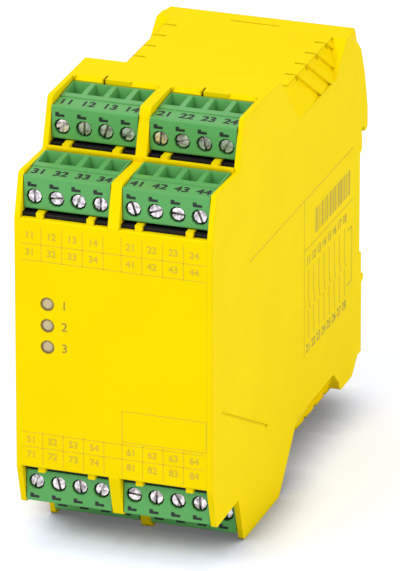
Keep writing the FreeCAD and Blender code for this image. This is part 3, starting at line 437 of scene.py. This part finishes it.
def numeral_growth(finish):
    """A number, centred, as flat faces with an outline as broad as the pen."""
    growth = Growth("numeral", finish, Text="0", Size=3 * MM, Pen=0.06 * MM)
    letters = growth.add("GeometryNodeStringToCurves", {
        "String": growth.given["Text"], "Size": growth.given["Size"]},
        align_x="CENTER", align_y="MIDDLE").outputs[0]
    real = growth.add("GeometryNodeRealizeInstances", {0: letters}).outputs[0]
    filled = growth.add("GeometryNodeFillCurve", {0: real}).outputs[0]
    pen = circle(growth, 4, growth.given["Pen"])
    stroke = sweep(growth, real, pen)
    flat = growth.add("GeometryNodeTransform", {"Geometry": stroke,
                                                "Scale": (1.0, 1.0, 0.02)}).outputs[0]
    return growth.close(join(growth, filled, flat))


def recess_shade_mark_growth(finish):
    """Row of stepped dark marks, one for each clamp screw: a stem and a lower bar beside it, as
    painted shade for recesses in the plug.
    """
    growth = Growth("driver_mark", finish, Count=POLES, Pitch=PITCH, Width=2.1 * MM,
                    Stem=0.85 * MM, Height=1.05 * MM, Bar=0.62 * MM)
    g = growth.given
    stem_x = growth.maths("MULTIPLY", growth.maths("SUBTRACT", g["Stem"], g["Width"]), 0.5)
    bar_x = growth.maths("MULTIPLY", g["Stem"], 0.5)
    drop = growth.maths("MULTIPLY", growth.maths("SUBTRACT", g["Bar"], g["Height"]), 0.5)
    stem = bar(growth, g["Stem"], g["Height"], spot(growth, stem_x))
    foot = bar(growth, growth.maths("SUBTRACT", g["Width"], g["Stem"]), g["Bar"],
               spot(growth, bar_x, drop))
    mark = join(growth, stem, foot)
    return growth.close(in_row(growth, mark, g["Count"], g["Pitch"]))


def rim_growth(finish):
    """Dark rings round the status windows, one below the other: painted shade at the edge of each
    lens.
    """
    growth = Growth("window_rims", finish, Count=len(WINDOWS), Step=5.0 * MM,
                    Radius=1.5 * MM, Wire=0.16 * MM)
    g = growth.given
    hoop = sweep(growth, circle(growth, 40, g["Radius"]), circle(growth, 8, g["Wire"]))
    return growth.close(in_row(growth, hoop, g["Count"], g["Step"]))


def code_bar_growth(finish):
    """Row of upright bars of uneven width, from a fixed seed."""
    growth = Growth("code_bars", finish, Count=22, Step=1.15 * MM, Height=6.0 * MM,
                    Narrow=0.18 * MM, Wide=0.8 * MM, Seed=7)
    g = growth.given
    row = in_row(growth, bar(growth, 1.0, g["Height"]), g["Count"], g["Step"])
    width = growth.add("FunctionNodeRandomValue", {2: g["Narrow"], 3: g["Wide"],
                                                   "Seed": g["Seed"]}).outputs[1]
    widths = growth.add("ShaderNodeCombineXYZ", {0: width, 1: 1.0, 2: 1.0}).outputs[0]
    growth.tree.links.new(widths, row.node.inputs["Scale"])
    return growth.close(row)


def table_growth(finish):
    """Upright rules of a printed table, at an even step."""
    growth = Growth("table_rules", finish, Count=4, Step=4.7 * MM, Height=8.0 * MM,
                    Line=RULE_WIDTH)
    g = growth.given
    return growth.close(in_row(growth, bar(growth, g["Line"], g["Height"]), g["Count"], g["Step"]))


def coil_growth(finish):
    """Compression spring of round wire, standing on the origin."""
    growth = Growth("coil", finish, Turns=6.0, Radius=1.85 * MM, Wire=COIL_WIRE,
                    Length=9.5 * MM)
    g = growth.given
    path = growth.add("GeometryNodeCurveSpiral", {
        "Resolution": 24, "Rotations": g["Turns"], "Start Radius": g["Radius"],
        "End Radius": g["Radius"], "Height": g["Length"]}).outputs[0]
    return growth.close(sweep(growth, path, circle(growth, 10, g["Wire"]), caps=True))


# ---- planes that print is laid on ----
def panel_place(x, z):
    """On the front panel; x from the middle, z from mid-height."""
    return Matrix.Translation((x, FRONT - INK_LIFT, MIDDLE + z)) @ UPRIGHT


def cover_place(y, z):
    """On the right side face; y from the front panel back, z from mid-height."""
    turn = Matrix.Rotation(math.pi / 2, 4, "Z") @ UPRIGHT
    return Matrix.Translation((SIDE + INK_LIFT, FRONT + y, MIDDLE + z)) @ turn


def plug_place(bay):
    """The plug's own frame: y from its face, z from its floor; lower plugs hang half turned."""
    low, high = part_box(bay + "_plug")
    x = (low.x + high.x) / 2
    if bay.startswith("upper"):
        return Matrix.Translation((x, low.y, low.z))
    return Matrix.Translation((x, low.y, high.z)) @ Matrix.Rotation(math.pi, 4, "Y")


def rule(x0, y0, x1, y1, width=RULE_WIDTH):
    """Corners of a straight printed line in a plane's own XY."""
    start, end = Vector((x0, y0, 0)), Vector((x1, y1, 0))
    across = (end - start).normalized().cross(Vector((0, 0, 1))) * (width / 2)
    return [start + across, end + across, end - across, start - across]


def flat_mesh(faces):
    """One mesh of four-cornered faces."""
    mesh = bpy.data.meshes.new("rules")
    mesh.from_pydata([tuple(p) for face in faces for p in face], [],
                     [tuple(range(4 * i, 4 * i + 4)) for i in range(len(faces))])
    return mesh


def piece(name, body, finish, parts):
    """One object made of placed meshes: (mesh, matrix) pairs, riding on a body."""
    points, faces = [], []
    for mesh, place in parts:
        start = len(points)
        points += [place @ v.co for v in mesh.vertices]
        faces += [tuple(start + i for i in p.vertices) for p in mesh.polygons]
    mesh = bpy.data.meshes.new(name)
    mesh.from_pydata(points, [], faces)
    mesh.materials.append(FINISH[finish])
    made = bpy.data.objects.new(name, mesh)
    bpy.context.collection.objects.link(made)
    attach(made, body)
    return made


# ---- the print and small trim ----
def plug_print():
    """Numbers on each label strip and the dark marks beside each row of screws, painted shade for
    recesses in the plug.
    """
    numerals = numeral_growth(FINISH["dark"])
    marks = recess_shade_mark_growth(FINISH["dark"]).grow()
    tilt = Matrix.Rotation(math.atan((REAR_HEIGHT - FACE_HEIGHT) / BLOCK_DEPTH), 4, "X")
    depth, drop = STRIP_MIDDLE
    for bay in BAYS:
        place = plug_place(bay)
        low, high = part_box(bay + "_plug")
        strip = Matrix.Translation((0, depth * MM, high.z - low.z - drop * MM)) @ tilt
        parts = []
        for i, number in enumerate(NUMBERS[bay]):
            x = (i - (POLES - 1) / 2) * PITCH
            glyph = numerals.grow(Text=number, Size=NUMERAL * MM, Pen=NUMERAL_PEN * MM)
            parts.append((glyph, place @ strip @ Matrix.Translation((x, 0, INK_LIFT))))
        piece(bay + "_numbers", bay, "dark", parts)
        tier = bay.split("_")[0]
        aside, rise = MARKS[tier]
        lift = Matrix.Translation((aside * MM, -INK_LIFT, rise * MM))
        if tier == "lower":
            lift = lift @ Matrix.Rotation(math.pi, 4, "Y")
        piece(bay + "_marks", bay, "dark", [(marks, place @ lift @ UPRIGHT)])


def panel_print():
    """Two terminal tables, the window numbers and an empty label box on the front panel."""
    numerals = numeral_growth(FINISH["ochre"])
    rules = table_growth(FINISH["ochre"]).grow()
    parts, lines, labels = [], [], []
    for levels, middle, rows in TABLES:
        lines += [(TABLE_SIDES[0], z, TABLE_SIDES[1], z) for z in levels]
        for x in RULE_MIDDLES:
            parts.append((rules, panel_place(x * MM, middle * MM)))
        for bay, z in rows:
            numbers = NUMBERS[bay + "_left"] + NUMBERS[bay + "_right"]
            for x, number in zip(COLUMNS, numbers):
                glyph = numerals.grow(Text=number, Size=TABLE_NUMERAL * MM)
                parts.append((glyph, panel_place(x * MM, z * MM)))
    left, foot, right, top = LABEL_BOX
    corners = ((left, foot), (right, foot), (right, top), (left, top))
    lines += [start + end for start, end in zip(corners, corners[1:] + corners[:1])]
    faces = [rule(*(v * MM for v in line)) for line in lines]
    parts.append((flat_mesh(faces), panel_place(0, 0)))
    piece("panel_print", "housing", "ochre", parts)
    for i, window in enumerate(WINDOWS):
        low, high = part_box(window)
        glyph = numerals.grow(Text=str(i + 1), Size=WINDOW_NUMERAL * MM)
        place = panel_place(WINDOW_COLUMN * MM, (low.z + high.z) / 2 - MIDDLE)
        labels.append((glyph, place))
    piece("window_numbers", "housing", "grey", labels)


def window_rims():
    """Thin dark rings that frame the windows, in a column about the middle one: painted shade at
    each lens edge.
    """
    low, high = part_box(WINDOWS[1])
    x, z = (low.x + high.x) / 2, (low.z + high.z) / 2
    rings = rim_growth(FINISH["rim"]).grow()
    place = (Matrix.Translation((x, FRONT + RIM_DEPTH, z)) @ UPRIGHT
             @ Matrix.Rotation(math.pi / 2, 4, "Z"))
    piece("window_rims", "housing", "rim", [(rings, place)])


def latch_coil():
    """The latch's spring as a wound coil, its foot on the housing; it rides on the housing, in
    place of the CAD spring.
    """
    low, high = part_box("latch_spring")
    length = high.z - low.z
    foot = Vector(((low.x + high.x) / 2, (low.y + high.y) / 2, low.z))
    coil = coil_growth(FINISH["wire"]).grow(
        Radius=(high.x - low.x) / 2 - COIL_WIRE, Wire=COIL_WIRE, Length=length - 2 * COIL_WIRE)
    made = piece("latch_coil", "housing", "wire",
                 [(coil, Matrix.Translation(foot + Vector((0, 0, COIL_WIRE))))])
    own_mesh(made)
    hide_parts("latch_spring")


def cover_print():
    """Rules, a contact diagram, number rows and code bars on the side cover."""
    numerals = numeral_growth(FINISH["grey"])
    bars = code_bar_growth(FINISH["grey"]).grow()
    places = [CONTACT_START + CONTACT_STEP * k for k in range(CONTACTS)]
    strokes = [(y + y0, z0, y + y1, z1) for y in places for y0, z0, y1, z1 in CONTACT]
    faces = [rule(*(v * MM for v in line), width=SIDE_RULE * MM) for line in SIDE_RULES]
    faces += [rule(*(v * MM for v in line), width=STROKE * MM)
              for line in strokes + list(BRACKET)]
    bars_place = cover_place(*(v * MM for v in BARS_MIDDLE))
    parts = [(flat_mesh(faces), cover_place(0, 0)), (bars, bars_place)]
    for k, y in enumerate(places):
        for z, first in SIDE_ROWS:
            glyph = numerals.grow(Text=str(first + k), Size=SIDE_NUMERAL * MM,
                                  Pen=SIDE_PEN * MM)
            parts.append((glyph, cover_place(y * MM, z * MM)))
    piece("cover_print", "housing", "grey", parts)


# ---- stage ----
def floor():
    """Pale paper that clears to white in the open, with a painted contact shadow that darkens it
    close to what stands on it.
    """
    mesh = bpy.data.meshes.new("floor")
    mesh.from_pydata([(x * FLOOR_HALF, y * FLOOR_HALF, 0)
                      for x, y in ((-1, -1), (1, -1), (1, 1), (-1, 1))], [], [(0, 1, 2, 3)])
    material, graph, shader, place = new_finish("floor_paper")
    patch = graph.noise(place, 0.004, 2.0)
    paper = graph.blend(patch, *PAPER)
    # painted shadow round the part's foot, from ambient occlusion
    occlusion_shade = painted_shade_factor(graph, reach=12.0, depth=0.72, closed=0.45, clear=0.95)
    graph.feed(shader, {"Base Color": graph.scale(paper, occlusion_shade), "Roughness": 0.9,
                        "Specular IOR Level": 0.0})
    rays = graph.add("ShaderNodeLightPath").outputs
    seen = graph.maths("MAXIMUM", rays["Is Camera Ray"], rays["Is Glossy Ray"])
    # the glow is darkened by the same painted shadow
    level = graph.maths("MULTIPLY", graph.maths("MULTIPLY", seen, occlusion_shade), FLOOR_GLOW)
    glow = graph.add("ShaderNodeEmission", {"Strength": level})
    both = graph.add("ShaderNodeAddShader", {0: shader.outputs[0], 1: glow.outputs[0]})
    graph.feed(material.node_tree.nodes["Material Output"], {0: both.outputs[0]})
    mesh.materials.append(material)
    made = bpy.data.objects.new("floor", mesh)
    bpy.context.collection.objects.link(made)


def sky(strength):
    """Even light all round, seen as white directly and in reflections."""
    world = bpy.data.worlds.new("sky")
    bpy.context.scene.world = world
    world.use_nodes = True
    graph = Graph(world.node_tree)
    rays = graph.add("ShaderNodeLightPath").outputs
    seen = graph.maths("MAXIMUM", rays["Is Camera Ray"],
                       graph.maths("MAXIMUM", rays["Is Glossy Ray"], rays["Is Transmission Ray"]))
    graph.feed(world.node_tree.nodes["Background"], {
        "Color": (1, 1, 1, 1), "Strength": graph.spread(seen, 0.0, 1.0, strength, 1.0)})


def lamp(name, sides, power, position, tint):
    """A soft rectangular light turned towards the part."""
    light = bpy.data.lights.new(name, "AREA")
    light.shape = "RECTANGLE"
    light.size, light.size_y = sides
    light.energy = power
    light.color = tint
    made = bpy.data.objects.new(name, light)
    made.location = position
    made.rotation_euler = (Vector(AIM) - Vector(position)).to_track_quat("-Z", "Y").to_euler()
    bpy.context.collection.objects.link(made)


def camera():
    """Long lens from the front right, looking down."""
    turn = (Matrix.Rotation(math.radians(AZIMUTH), 3, "Z")
            @ Matrix.Rotation(math.pi / 2 - math.radians(ELEVATION), 3, "X"))
    offset = Vector(STAND_OFF) * MM
    origin = Vector(((cad_low.x + cad_high.x) / 2, FRONT, MIDDLE))
    lens = bpy.data.cameras.new("camera")
    lens.sensor_width = SENSOR
    lens.lens = FOCAL_LENGTH
    lens.clip_end = 20.0
    made = bpy.data.objects.new("camera", lens)
    made.matrix_world = Matrix.Translation(origin + turn @ offset) @ turn.to_4x4()
    bpy.context.collection.objects.link(made)
    bpy.context.scene.camera = made


dress_cad()
plug_print()
panel_print()
window_rims()
latch_coil()
cover_print()
floor()
sky(SKY)
for values in LAMPS:
    lamp(*values)
camera()
bpy.context.scene.view_settings.view_transform = "Standard"
